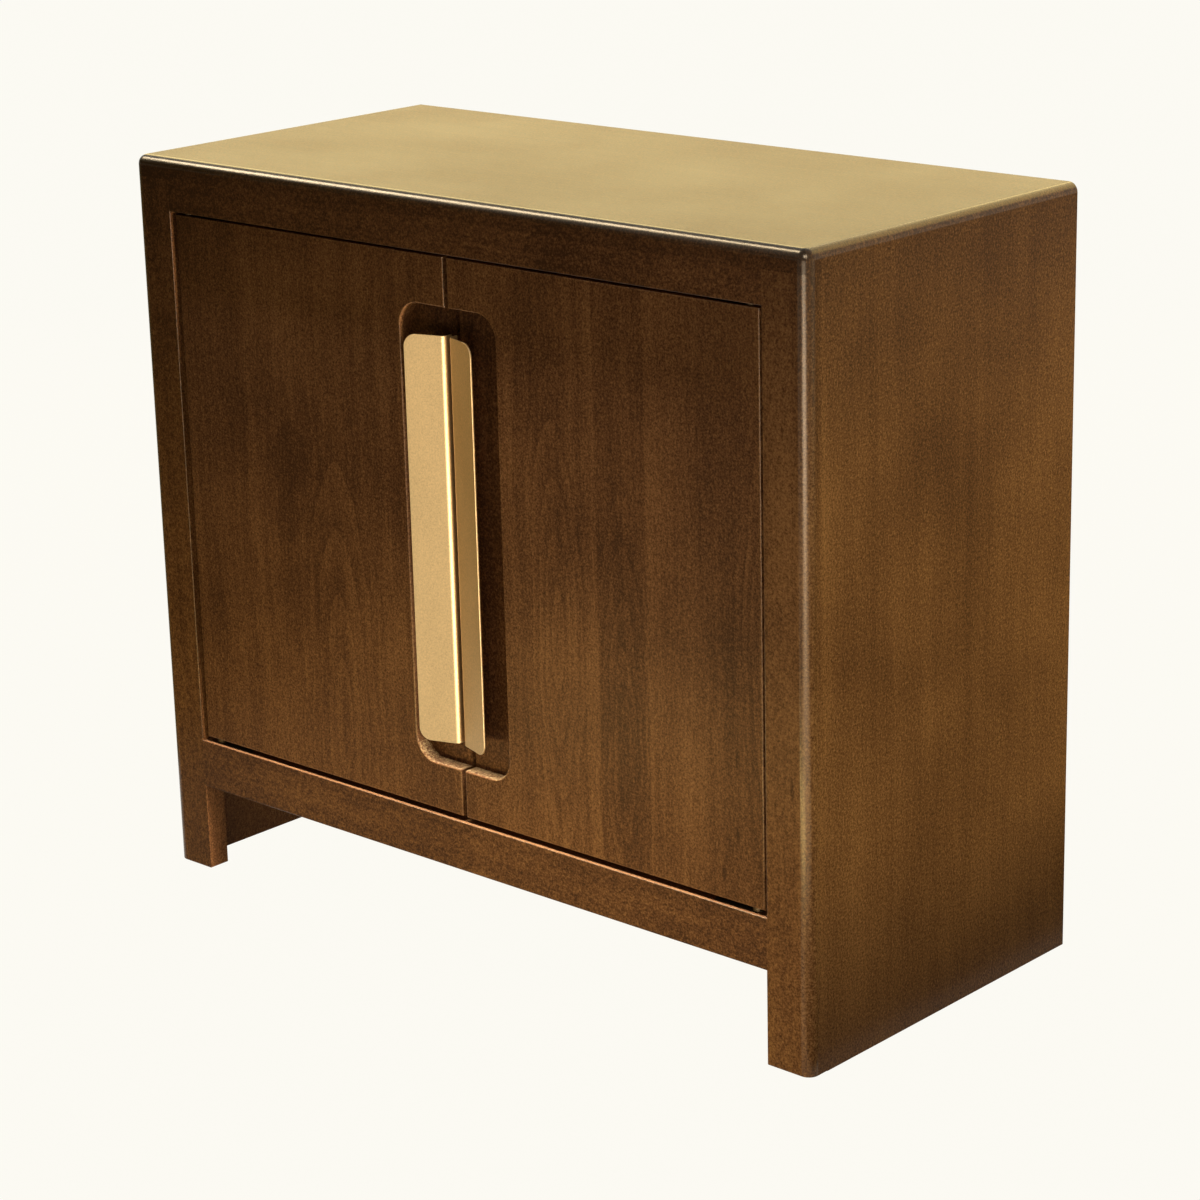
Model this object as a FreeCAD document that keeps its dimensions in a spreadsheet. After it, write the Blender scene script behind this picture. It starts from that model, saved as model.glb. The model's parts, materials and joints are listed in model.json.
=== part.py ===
"""Two-door accent cabinet: a framed wooden case, pivot-hung doors and bent brass pulls.

X runs to the right seen from the front, Y to the back and Z up, in millimetres.
The origin is on the floor, below the middle of the whole cabinet, pulls included.
"""
import FreeCAD
import Part
import Sketcher
import math
import os
import re

# Driving sizes, in millimetres and degrees
SIZES = {
    # Case
    "width": 900,
    "depth": 414,
    "height": 789,
    "top_thickness": 22,
    "top_band": 55,
    "edge_round": 10,
    "stile_width": 52,
    "frame_thickness": 25,
    "bottom_rail_height": 53,
    "foot_height": 97,
    "side_thickness": 15,
    "floor_thickness": 18,
    "back_thickness": 6,
    "rear_rail_thickness": 20,
    "rear_top_rail_height": 40,
    # Case joints
    "tenon_length": 20,
    "tenon_thickness": 10,
    "tenon_shoulder": 6,
    "tongue_thickness": 7,
    "tongue_depth": 8,
    "glue_gap": 1,
    "dado_depth": 5,
    "rabbet_width": 8,
    "dowel_diameter": 6,
    "dowel_length": 30,
    "dowel_in_top": 12,
    "dowel_inset": 50,
    "rear_dowel_spread": 200,
    "dowel_play": 0.1,
    # Shelf and its supports
    "shelf_thickness": 18,
    "shelf_setback": 48,
    "shelf_play": 2.5,
    "support_height": 440,
    "support_pitch": 48,
    "support_inset": 60,
    "support_diameter": 5,
    "support_depth": 9,
    "support_reach": 9,
    "collar_diameter": 8,
    "collar_thickness": 1.5,
    "support_play": 0.1,
    # Doors and their shared recess
    "door_thickness": 26,
    "door_recess": 3.5,
    "reveal": 5,
    "top_reveal": 3,
    "door_gap": 5,
    "arris": 1.5,
    "recess_width": 130,
    "recess_height": 476,
    "recess_depth": 16,
    "recess_corner": 25,
    # Pulls
    "handle_length": 420,
    "handle_projection": 11.5,
    "plate_width": 40.5,
    "plate_lean": 18.5,
    "plate_corner": 13,
    "sheet_thickness": 2,
    "bend_radius": 4,
    "foot_width": 14,
    "foot_trim": 40,
    "flange_setback": 0.5,
    "handle_screw_inset": 62,
    "handle_screw_diameter": 4,
    "handle_head_diameter": 7.5,
    "handle_head_height": 2.2,
    # Pivot hinges
    "pivot_inset": 14,
    "pivot_depth": 8,
    "pin_diameter": 6,
    "pin_clearance": 0.05,
    "pin_tail": 8,
    "pin_room": 0.4,
    "leaf_length": 58,
    "leaf_width": 12,
    "leaf_thickness": 2.5,
    "leaf_play": 0.1,
    "leaf_screw_start": 19,
    "leaf_screw_pitch": 22,
    "washer_diameter": 11,
    "washer_play": 0.1,
    # Wood screws
    "screw_diameter": 3.4,
    "screw_head": 6.4,
    "screw_length": 16,
    "screw_tip": 3,
    "screw_play": 0.1,
    "back_screw_pitch": 300,
    # Door stop and catches
    "stop_width": 110,
    "stop_thickness": 22,
    "stop_height": 56,
    "stop_gap": 0.4,
    "magnet_diameter": 10,
    "magnet_length": 5,
    "magnet_play": 0.1,
    "strike_diameter": 14,
    "strike_thickness": 2,
    "catch_offset": 32,
    "catch_drop": 10,
}

# Places that follow from the sizes
PLACES = {
    "front_y": "(handle_projection - depth) / 2",
    "back_y": "front_y + depth",
    "half_width": "width / 2",
    "corner_round": "edge_round + 1",
    "opening_half": "half_width - stile_width",
    "opening_low": "foot_height + bottom_rail_height",
    "opening_high": "height - top_band",
    "case_top": "height - top_thickness",
    "side_inner": "half_width - side_thickness",
    "side_depth": "depth - frame_thickness",
    "floor_low": "opening_low - floor_thickness",
    "back_front": "side_depth - back_thickness",
    "back_height": "case_top - foot_height",
    "rear_rail_front": "back_front - rear_rail_thickness",
    "tenon_front": "(frame_thickness - tenon_thickness) / 2",
    "tongue_middle": "side_thickness / 2",
    "rear_support": "rear_rail_front - support_inset",
    "door_y": "front_y + door_recess",
    "door_back": "door_y + door_thickness",
    "door_low": "opening_low + reveal",
    "door_high": "opening_high - top_reveal",
    "door_height": "door_high - door_low",
    "door_width": "opening_half - reveal - door_gap / 2",
    "recess_floor": "door_thickness - recess_depth",
    "pivot_x": "opening_half - reveal - pivot_inset",
    "pivot_y": "door_y + pivot_depth",
    "leaf_radius": "leaf_width / 2",
    "leaf_run": "leaf_length - leaf_width",
    "screw_bore": "screw_diameter + 2 * screw_play",
    "screw_sink": "screw_head + 2 * screw_play",
    "screw_depth": "screw_length + glue_gap",
    "screw_in_rail": "screw_depth - back_thickness",
    "dowel_bore": "dowel_diameter + 2 * dowel_play",
    "dowel_in_case": "dowel_length - dowel_in_top + glue_gap / 2",
    "support_bore": "support_diameter + 2 * support_play",
    "bend_outside": "bend_radius + sheet_thickness",
    "flange_height": "recess_depth + door_recess + handle_projection"
                     " - bend_outside * cos(plate_lean) - plate_width * sin(plate_lean)",
    "flange_x": "door_gap / 2 + flange_setback",
    "handle_low": "(door_height - handle_length) / 2",
    "handle_screw_x": "(bend_outside + foot_width) / 2",
    "handle_screw_run": "handle_length - 2 * handle_screw_inset",
    "catch_height": "door_high - catch_drop",
}

SHELF_HOLES = (-2, -1, 0, 1, 2)
HANDLE_SCREWS = 4

doc = FreeCAD.newDocument("accent_cabinet")
pieces = []


def make_sheet(name, cells):
    """A sheet with one named value in each row."""
    sheet = doc.addObject("Spreadsheet::Sheet", name)
    for row, (alias, content) in enumerate(cells.items(), 1):
        sheet.set(f"A{row}", alias)
        sheet.set(f"B{row}", content)
        sheet.setAlias(f"B{row}", alias)
    return sheet


def formula(text):
    """The text with every size and place written as a reference to its sheet."""
    def reference(match):
        word = match.group()
        if word in SIZES:
            return "Sizes." + word
        if word in PLACES:
            return "Places." + word
        return word
    return re.sub(r"[a-z_]+", reference, text)


sizes = make_sheet("Sizes", {alias: str(number) for alias, number in SIZES.items()})
make_sheet("Places", {alias: "=" + formula(text) for alias, text in PLACES.items()})
doc.recompute()


def value(text):
    """The present number of a formula."""
    return float(sizes.evalExpression(formula(text)))


def vector(x, y, z="0"):
    return FreeCAD.Vector(value(x), value(y), value(z))


def bind(thing, path, text):
    """Tie a property or a constraint to a formula."""
    if re.search("[a-z]", text):
        thing.setExpression(path, formula(text))


def same(a, b):
    return abs(a - b) < 1e-4


def make_body(label, x="0", y="0", z="0"):
    body = doc.addObject("PartDesign::Body", label)
    body.Label = label
    body.Placement.Base = vector(x, y, z)
    for axis, text in zip("xyz", (x, y, z)):
        bind(body, f".Placement.Base.{axis}", text)
    return body


def keep(thing):
    """List a finished piece for the parts folder."""
    pieces.append(thing)
    return thing


def mirror(right):
    """The left-hand twin of a right-hand piece."""
    label = right.Label.replace("right", "left")
    twin = doc.addObject("Part::Mirroring", label)
    twin.Label = label
    twin.Source = right
    twin.Normal = FreeCAD.Vector(1, 0, 0)
    twin.Base = FreeCAD.Vector(0, 0, 0)
    keep(twin)


def make_sketch(body, name, role, offset="0"):
    """A sketch on one of the body's own planes, moved along that plane's normal."""
    sketch = body.newObject("Sketcher::SketchObject", name)
    plane = next(item for item in body.Origin.OriginFeatures if item.Role == role)
    sketch.AttachmentSupport = (plane, [""])
    sketch.MapMode = "FlatFace"
    sketch.AttachmentOffset.Base.z = value(offset)
    bind(sketch, "AttachmentOffset.Base.z", offset)
    return sketch


def hold(sketch, kind, geometry, point, text):
    """Keep a point at a distance from the sketch's origin."""
    number = sketch.addConstraint(Sketcher.Constraint(kind, -1, 1, geometry, point, value(text)))
    bind(sketch, f"Constraints[{number}]", text)


def outline(sketch, corners, arcs=None):
    """A closed outline; arcs gives the centre and the turn (1 or -1) of the arc that leaves a corner."""
    arcs = arcs or {}
    points = [vector(x, y) for x, y in corners]
    tails = []
    heads = []
    first = sketch.GeometryCount
    for number, start in enumerate(points):
        end = points[(number + 1) % len(points)]
        tail, head = 1, 2
        if number in arcs:
            centre_x, centre_y, turn = arcs[number]
            centre = vector(centre_x, centre_y)
            if turn < 0:
                start, end = end, start
                tail, head = 2, 1
            angles = [math.atan2(*reversed((place - centre)[:2])) for place in (start, end)]
            circle = Part.Circle(centre, FreeCAD.Vector(0, 0, 1), (start - centre).Length)
            sketch.addGeometry(Part.ArcOfCircle(circle, *angles))
        else:
            sketch.addGeometry(Part.LineSegment(start, end))
        tails.append(tail)
        heads.append(head)
    for number, (x, y) in enumerate(corners):
        before = (number - 1) % len(corners)
        join = (first + before, heads[before], first + number, tails[number])
        sketch.addConstraint(Sketcher.Constraint("Coincident", *join))
        hold(sketch, "DistanceX", first + number, tails[number], x)
        hold(sketch, "DistanceY", first + number, tails[number], y)
    for number, (centre_x, centre_y, turn) in arcs.items():
        hold(sketch, "DistanceX", first + number, 3, centre_x)


def rectangle(sketch, left, low, right, high):
    outline(sketch, [(left, low), (right, low), (right, high), (left, high)])


def round_slot(sketch, start, end, middle, radius):
    """A slot with round ends whose centres lie on one line along the sketch's first axis."""
    low, high = f"{middle} - ({radius})", f"{middle} + {radius}"
    corners = [(start, low), (end, low), (end, high), (start, high)]
    outline(sketch, corners, {1: (end, middle, 1), 3: (start, middle, 1)})


def circles(sketch, centres, diameter):
    for x, y in centres:
        number = sketch.addGeometry(Part.Circle(vector(x, y), FreeCAD.Vector(0, 0, 1), value(diameter) / 2))
        hold(sketch, "DistanceX", number, 3, x)
        hold(sketch, "DistanceY", number, 3, y)
        size = sketch.addConstraint(Sketcher.Constraint("Diameter", number, value(diameter)))
        bind(sketch, f"Constraints[{size}]", diameter)


def pad(body, sketch, length, reverse=False, middle=False):
    feature = body.newObject("PartDesign::Pad", "pad")
    feature.Profile = sketch
    feature.Reversed = reverse
    if middle:
        feature.SideType = "Symmetric"
    feature.Length = value(length)
    bind(feature, "Length", length)
    doc.recompute()
    return feature


def confirm_cut(feature, before):
    doc.recompute()
    if not feature.Shape.Volume < before - 1e-3:
        raise RuntimeError(f"{feature.Name} removes nothing")


def pocket(body, sketch, depth, forward=False):
    """Cut against the sketch's normal, or along it when forward."""
    before = body.Tip.Shape.Volume
    feature = body.newObject("PartDesign::Pocket", "pocket")
    feature.Profile = sketch
    feature.Reversed = forward
    feature.Length = value(depth)
    bind(feature, "Length", depth)
    confirm_cut(feature, before)


def drill(body, role, offset, centres, diameter, depth, forward=False):
    sketch = make_sketch(body, "hole_centres", role, offset)
    circles(sketch, centres, diameter)
    pocket(body, sketch, depth, forward)


def countersink(body, role, offset, centres, forward=False):
    """Holes right through a thin piece, opened for the heads of the wood screws."""
    sketch = make_sketch(body, "sink_centres", role, offset)
    circles(sketch, centres, "screw_bore")
    doc.recompute()
    before = body.Tip.Shape.Volume
    feature = body.newObject("PartDesign::Hole", "sink")
    feature.Profile = sketch
    doc.recompute()
    feature.Reversed = forward
    feature.DepthType = "ThroughAll"
    feature.DrillPoint = "Flat"
    feature.Diameter = value("screw_bore")
    bind(feature, "Diameter", "screw_bore")
    feature.HoleCutType = "Countersink"
    feature.HoleCutCountersinkAngle = 90
    feature.HoleCutDiameter = value("screw_sink")
    bind(feature, "HoleCutDiameter", "screw_sink")
    confirm_cut(feature, before)


def soften(body, radius, chosen):
    """Round the edges whose middle point and direction pass the test."""
    base = body.Tip
    names = []
    for number, edge in enumerate(base.Shape.Edges, 1):
        middle = edge.valueAt((edge.FirstParameter + edge.LastParameter) / 2)
        along = edge.tangentAt((edge.FirstParameter + edge.LastParameter) / 2)
        if chosen(middle, along):
            names.append(f"Edge{number}")
    if not names:
        raise RuntimeError(f"{body.Label} has no edge to round")
    feature = body.newObject("PartDesign::Fillet", "round")
    feature.Base = (base, names)
    feature.Radius = value(radius)
    bind(feature, "Radius", radius)
    doc.recompute()


def turned(label, profile, x="0", y="0", z="0"):
    """A body of revolution about its own Z axis, from a profile of radius and height."""
    body = make_body(label, x, y, z)
    sketch = make_sketch(body, "profile", "XZ_Plane")
    outline(sketch, profile)
    feature = body.newObject("PartDesign::Revolution", "turn")
    feature.Profile = sketch
    feature.ReferenceAxis = (sketch, ["V_Axis"])
    feature.Angle = 360
    doc.recompute()
    return body


def group(label, pattern, spots):
    """Copies of one fastener at several spots, each with the way its own Z axis points."""
    copies = []
    for x, y, z, pointing in spots:
        copy = pattern.Shape.copy()
        turn = FreeCAD.Rotation(FreeCAD.Vector(0, 0, 1), FreeCAD.Vector(*pointing))
        copy.Placement = FreeCAD.Placement(vector(x, y, z), turn)
        copies.append(copy)
    holder = doc.addObject("Part::Feature", label)
    holder.Label = label
    holder.Shape = Part.makeCompound(copies)
    holder.Placement = FreeCAD.Placement()
    return keep(holder)


def both_sides(spots):
    """Each spot and its twin on the other side of the middle plane."""
    twins = [(f"-({x})", y, z, (-px, py, pz)) for x, y, z, (px, py, pz) in spots]
    return spots + twins


UP = (0, 0, 1)
DOWN = (0, 0, -1)
INWARD = (-1, 0, 0)
TO_FRONT = (0, -1, 0)
TO_BACK = (0, 1, 0)

SIDE_DOWELS = [
    ("half_width - side_thickness / 2", "front_y + frame_thickness + dowel_inset"),
    ("half_width - side_thickness / 2", "front_y + frame_thickness + rear_rail_front - dowel_inset"),
]
STILE_DOWEL = ("side_inner - dowel_diameter / 2", "front_y + frame_thickness / 2")
REAR_DOWEL = ("rear_dowel_spread", "back_y - back_thickness - rear_rail_thickness / 2")
DOWELS = SIDE_DOWELS + [STILE_DOWEL, REAR_DOWEL]

LEAF_SCREWS = ["leaf_screw_start", "leaf_screw_start + leaf_screw_pitch"]

BACK_COLUMNS = ["-back_screw_pitch", "0", "back_screw_pitch"]
BACK_ROWS = {"low": "(floor_low - foot_height) / 2", "high": "back_height - rear_top_rail_height / 2"}
BACK_SIDE_X = "side_inner + rabbet_width / 2"
BACK_SIDE_ROWS = ["back_height / 3", "back_height * 2 / 3"]


def dowel_spots(spots, x, y):
    """Dowel spots measured from a piece's own corner."""
    return [(f"{spot_x} - ({x})", f"{spot_y} - ({y})") for spot_x, spot_y in spots]


def build_top_panel():
    body = make_body("top_panel", y="front_y", z="case_top")
    sketch = make_sketch(body, "outline", "XY_Plane")
    rectangle(sketch, "-half_width", "0", "half_width", "depth")
    pad(body, sketch, "top_thickness")
    soften(body, "corner_round", lambda at, along: same(abs(along.z), 1) and same(at.y, 0))
    top = value("top_thickness")
    back = value("depth")
    soften(body, "edge_round", lambda at, along: same(at.z, top) and not same(at.y, back))
    bores = dowel_spots(DOWELS, "0", "front_y")
    bores += [(f"-({x})", y) for x, y in bores]
    drill(body, "XY_Plane", "0", bores, "dowel_bore", "dowel_in_top + glue_gap / 2", True)
    keep(body)


def build_stile():
    """Front leg and stile in one, grooved behind for the side panel's tongue."""
    body = make_body("right_front_stile", "opening_half", "front_y")
    sketch = make_sketch(body, "section", "XY_Plane")
    groove_end = "frame_thickness - tongue_depth - glue_gap"
    groove_near = "stile_width - tongue_middle - tongue_thickness / 2"
    groove_far = "stile_width - tongue_middle + tongue_thickness / 2"
    outline(sketch, [
        ("0", "0"),
        ("stile_width", "0"),
        ("stile_width", "frame_thickness"),
        (groove_far, "frame_thickness"),
        (groove_far, groove_end),
        (groove_near, groove_end),
        (groove_near, "frame_thickness"),
        ("0", "frame_thickness"),
    ])
    pad(body, sketch, "case_top")
    corner = value("stile_width")
    soften(body, "corner_round",
           lambda at, along: same(abs(along.z), 1) and same(at.x, corner) and same(at.y, 0))
    mortises = make_sketch(body, "mortises", "YZ_Plane")
    for low, high in (("foot_height", "opening_low"), ("opening_high", "case_top")):
        rectangle(mortises, "tenon_front", f"{low} + tenon_shoulder",
                  "tenon_front + tenon_thickness", f"{high} - tenon_shoulder")
    pocket(body, mortises, "tenon_length + glue_gap", True)
    spots = dowel_spots([STILE_DOWEL], "opening_half", "front_y")
    drill(body, "XY_Plane", "case_top", spots, "dowel_bore", "dowel_in_case")
    mirror(keep(body))


def build_side_panel():
    """Side panel with a front tongue, a rear rabbet and housings for the floor and rear rails."""
    corner_y = "front_y + frame_thickness"
    body = make_body("right_side_panel", "side_inner", corner_y)
    sketch = make_sketch(body, "section", "XY_Plane")
    tongue_near = "tongue_middle - tongue_thickness / 2"
    tongue_far = "tongue_middle + tongue_thickness / 2"
    outline(sketch, [
        ("0", "0"),
        (tongue_near, "0"),
        (tongue_near, "-tongue_depth"),
        (tongue_far, "-tongue_depth"),
        (tongue_far, "0"),
        ("side_thickness", "0"),
        ("side_thickness", "side_depth"),
        ("rabbet_width", "side_depth"),
        ("rabbet_width", "back_front"),
        ("0", "back_front"),
    ])
    pad(body, sketch, "case_top")
    housings = make_sketch(body, "housings", "YZ_Plane")
    outline(housings, [
        ("0", "floor_low"),
        ("rear_rail_front", "floor_low"),
        ("rear_rail_front", "foot_height"),
        ("back_front", "foot_height"),
        ("back_front", "opening_low"),
        ("0", "opening_low"),
    ])
    rectangle(housings, "rear_rail_front", "case_top - rear_top_rail_height", "back_front", "case_top")
    pocket(body, housings, "dado_depth", True)
    rows = []
    for row in ("support_inset", "rear_support"):
        rows += [(row, f"support_height + {step} * support_pitch") for step in SHELF_HOLES]
    drill(body, "YZ_Plane", "0", rows, "support_bore", "support_depth + glue_gap / 2", True)
    spots = dowel_spots(SIDE_DOWELS, "side_inner", corner_y)
    drill(body, "XY_Plane", "case_top", spots, "dowel_bore", "dowel_in_case")
    screws = [("rabbet_width / 2", f"foot_height + {row}") for row in BACK_SIDE_ROWS]
    drill(body, "XZ_Plane", "-back_front", screws, "screw_bore", "screw_in_rail", True)
    mirror(keep(body))


def rail(label, y, z, height, thickness, half_length):
    """A plain rail centred on the cabinet."""
    body = make_body(label, "0", y, z)
    sketch = make_sketch(body, "section", "YZ_Plane")
    rectangle(sketch, "0", "0", thickness, height)
    pad(body, sketch, f"2 * ({half_length})", middle=True)
    return body


def front_rail(label, z, height, hinge_face, upward):
    """A front rail with a tenon at each end and the hinge leaves let into one face."""
    body = rail(label, "front_y", z, height, "frame_thickness", "opening_half")
    tenon = make_sketch(body, "tenon", "YZ_Plane")
    rectangle(tenon, "tenon_front", "tenon_shoulder",
              "tenon_front + tenon_thickness", f"{height} - tenon_shoulder")
    pad(body, tenon, "2 * (opening_half + tenon_length)", middle=True)
    mortises = make_sketch(body, "leaf_mortises", "XY_Plane", hinge_face)
    middle = "pivot_y - front_y"
    round_slot(mortises, "pivot_x - leaf_run", "pivot_x", middle, "leaf_radius + leaf_play")
    round_slot(mortises, "-pivot_x", "leaf_run - pivot_x", middle, "leaf_radius + leaf_play")
    pocket(body, mortises, "leaf_thickness", upward)
    screws = []
    for step in LEAF_SCREWS:
        screws += [(f"pivot_x - ({step})", middle), (f"{step} - pivot_x", middle)]
    drill(body, "XY_Plane", hinge_face, screws, "screw_bore", "screw_depth", upward)
    keep(body)


def build_rails():
    front_rail("front_top_rail", "opening_high", "case_top - opening_high", "0", True)
    front_rail("front_bottom_rail", "foot_height", "bottom_rail_height", "bottom_rail_height", False)
    rear_y = "back_y - back_thickness - rear_rail_thickness"
    housed = "side_inner + dado_depth"
    top = rail("rear_top_rail", rear_y, "case_top - rear_top_rail_height",
               "rear_top_rail_height", "rear_rail_thickness", housed)
    bottom = rail("rear_bottom_rail", rear_y, "foot_height",
                  "floor_low - foot_height", "rear_rail_thickness", housed)
    for body, height in ((top, "rear_top_rail_height / 2"), (bottom, BACK_ROWS["low"])):
        spots = [(column, height) for column in BACK_COLUMNS]
        drill(body, "XZ_Plane", "-rear_rail_thickness", spots, "screw_bore", "screw_in_rail", True)
    spread = [(x, "rear_rail_thickness / 2") for x in ("rear_dowel_spread", "-rear_dowel_spread")]
    drill(top, "XY_Plane", "rear_top_rail_height", spread, "dowel_bore", "dowel_in_case")
    keep(top)
    keep(bottom)


def build_floor_and_back():
    floor = make_body("floor_panel", "0", "front_y + frame_thickness", "floor_low")
    sketch = make_sketch(floor, "outline", "XY_Plane")
    rectangle(sketch, "-(side_inner + dado_depth)", "0", "side_inner + dado_depth", "back_front")
    pad(floor, sketch, "floor_thickness")
    keep(floor)
    back = make_body("back_panel", "0", "back_y - back_thickness", "foot_height")
    sketch = make_sketch(back, "outline", "XZ_Plane")
    rectangle(sketch, "-(side_inner + rabbet_width)", "0", "side_inner + rabbet_width", "back_height")
    pad(back, sketch, "back_thickness", True)
    countersink(back, "XZ_Plane", "-back_thickness", back_screw_spots(), True)
    keep(back)


def back_screw_spots():
    """Back panel screws, measured from the middle of its lower edge."""
    spots = [(column, row) for row in BACK_ROWS.values() for column in BACK_COLUMNS]
    spots += [(side, row) for row in BACK_SIDE_ROWS for side in (BACK_SIDE_X, f"-({BACK_SIDE_X})")]
    return spots


def build_shelf():
    shelf = make_body("shelf", "0", "front_y + shelf_setback",
                      "support_height + support_diameter / 2 + support_play")
    sketch = make_sketch(shelf, "outline", "XY_Plane")
    half = "side_inner - shelf_play"
    rectangle(sketch, f"-({half})", "0", half, "depth - shelf_setback - back_thickness - shelf_play")
    pad(shelf, sketch, "shelf_thickness")
    soften(shelf, "arris", lambda at, along: same(at.y, 0) and same(abs(along.x), 1))
    keep(shelf)
    support = turned("shelf_support", [
        ("0", "-support_depth"),
        ("support_diameter / 2", "-support_depth"),
        ("support_diameter / 2", "0"),
        ("collar_diameter / 2", "0"),
        ("collar_diameter / 2", "collar_thickness"),
        ("support_diameter / 2", "collar_thickness"),
        ("support_diameter / 2", "support_reach"),
        ("0", "support_reach"),
    ])
    rows = [f"front_y + frame_thickness + {row}" for row in ("support_inset", "rear_support")]
    spots = [("side_inner", row, "support_height", INWARD) for row in rows]
    group("shelf_supports", support, both_sides(spots))


def build_dowels():
    dowel = turned("dowel", [
        ("0", "0"),
        ("dowel_diameter / 2 - glue_gap", "0"),
        ("dowel_diameter / 2", "glue_gap"),
        ("dowel_diameter / 2", "dowel_length - glue_gap"),
        ("dowel_diameter / 2 - glue_gap", "dowel_length"),
        ("0", "dowel_length"),
    ])
    low = "case_top + dowel_in_top - dowel_length"
    group("top_dowels", dowel, both_sides([(x, y, low, UP) for x, y in DOWELS]))


def build_door():
    body = make_body("right_door_panel", "door_gap / 2", "door_y", "door_low")
    sketch = make_sketch(body, "outline", "XZ_Plane")
    rectangle(sketch, "0", "0", "door_width", "door_height")
    pad(body, sketch, "door_thickness", True)
    recess = make_sketch(body, "recess", "XZ_Plane")
    side = "(recess_width - door_gap) / 2"
    low = "(door_height - recess_height) / 2"
    rectangle(recess, "-door_gap", low, side, f"door_height - {low}")
    pocket(body, recess, "recess_depth")
    edge = value(side)
    soften(body, "recess_corner", lambda at, along: same(abs(along.y), 1) and same(at.x, edge))
    soften(body, "arris", lambda at, along: same(at.y, 0))
    middle = "pivot_depth"
    pivot = "pivot_x - door_gap / 2"
    for face, upward in (("door_height", False), ("0", True)):
        mortise = make_sketch(body, "leaf_mortise", "XY_Plane", face)
        round_slot(mortise, f"{pivot} - leaf_run", pivot, middle, "leaf_radius + leaf_play")
        pocket(body, mortise, "leaf_thickness", upward)
        drill(body, "XY_Plane", face, [(pivot, middle)], "pin_diameter + 2 * pin_room",
              "leaf_thickness + pin_tail + glue_gap", upward)
        screws = [(f"{pivot} - ({step})", middle) for step in LEAF_SCREWS]
        drill(body, "XY_Plane", face, screws, "screw_bore", "screw_depth", upward)
    screws = [(f"flange_setback + {x}", f"handle_low + {z}") for x, z in handle_screw_spots()]
    drill(body, "XZ_Plane", "0", screws, "handle_screw_diameter + 2 * screw_play", "door_thickness")
    catch = [("catch_offset - door_gap / 2", "catch_height - door_low")]
    back = "-door_thickness"
    drill(body, "XZ_Plane", back, catch, "strike_diameter + 2 * magnet_play", "strike_thickness", True)
    drill(body, "XZ_Plane", back, catch, "screw_bore", "screw_depth", True)
    mirror(keep(body))


def handle_screw_spots():
    """Screws through the foot, measured from the flange and the handle's lower end."""
    last = HANDLE_SCREWS - 1
    return [("handle_screw_x", f"handle_screw_inset + handle_screw_run * {step} / {last}")
            for step in range(HANDLE_SCREWS)]


def build_handle():
    """One bent sheet: a foot on the recess floor, cut back at both ends, a flange and a leaning pull plate."""
    body = make_body("right_handle", "flange_x", "door_y + recess_depth", "door_low + handle_low")
    sketch = make_sketch(body, "section", "XY_Plane")
    bend_y = "-flange_height"
    root_x, root_y = "bend_outside * (1 - sin(plate_lean))", f"{bend_y} - bend_outside * cos(plate_lean)"
    tip_x, tip_y = f"{root_x} + plate_width * cos(plate_lean)", f"{root_y} - plate_width * sin(plate_lean)"
    outline(sketch, [
        ("bend_outside", "0"),
        ("0", "-bend_outside"),
        ("0", bend_y),
        (root_x, root_y),
        (tip_x, tip_y),
        (f"{tip_x} + sheet_thickness * sin(plate_lean)", f"{tip_y} + sheet_thickness * cos(plate_lean)"),
        ("bend_outside - bend_radius * sin(plate_lean)", f"{bend_y} - bend_radius * cos(plate_lean)"),
        ("sheet_thickness", bend_y),
        ("sheet_thickness", "-bend_outside"),
        ("bend_outside", "-sheet_thickness"),
        ("foot_width", "-sheet_thickness"),
        ("foot_width", "0"),
    ], {
        0: ("bend_outside", "-bend_outside", 1),
        2: ("bend_outside", bend_y, 1),
        6: ("bend_outside", bend_y, -1),
        8: ("bend_outside", "-bend_outside", -1),
    })
    pad(body, sketch, "handle_length")
    tip = value(tip_x)
    soften(body, "plate_corner", lambda at, along: same(along.z, 0) and at.x > tip)
    for end, upward in (("0", True), ("handle_length", False)):
        trim = make_sketch(body, "foot_end", "XY_Plane", end)
        rectangle(trim, "0", "-bend_outside", "foot_width", "0")
        pocket(body, trim, "foot_trim", upward)
    drill(body, "XZ_Plane", "0", handle_screw_spots(), "handle_screw_diameter + 2 * screw_play",
          "sheet_thickness", True)
    mirror(keep(body))


def leaf(label, z, bore, sunk_on_top):
    """A hinge leaf: a round-ended strip with a pin hole and two sunk screw holes."""
    body = make_body(label, "pivot_x", "pivot_y", z)
    sketch = make_sketch(body, "outline", "XY_Plane")
    round_slot(sketch, "-leaf_run", "0", "0", "leaf_radius")
    pad(body, sketch, "leaf_thickness")
    drill(body, "XY_Plane", "0", [("0", "0")], bore, "leaf_thickness", True)
    screws = [(f"-({step})", "0") for step in LEAF_SCREWS]
    if sunk_on_top:
        countersink(body, "XY_Plane", "leaf_thickness", screws)
    else:
        countersink(body, "XY_Plane", "0", screws, True)
    mirror(keep(body))


def pivot_pin(label, gap, z):
    """A pin that is held in the frame's leaf, crosses the gap and turns in the door's leaf."""
    reach = f"2 * leaf_thickness + {gap} + pin_tail"
    return turned(label, [
        ("0", "0"),
        ("pin_diameter / 2", "0"),
        ("pin_diameter / 2", f"{reach} - glue_gap"),
        ("pin_diameter / 2 - glue_gap", reach),
        ("0", reach),
    ], "pivot_x", "pivot_y", z)


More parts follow.
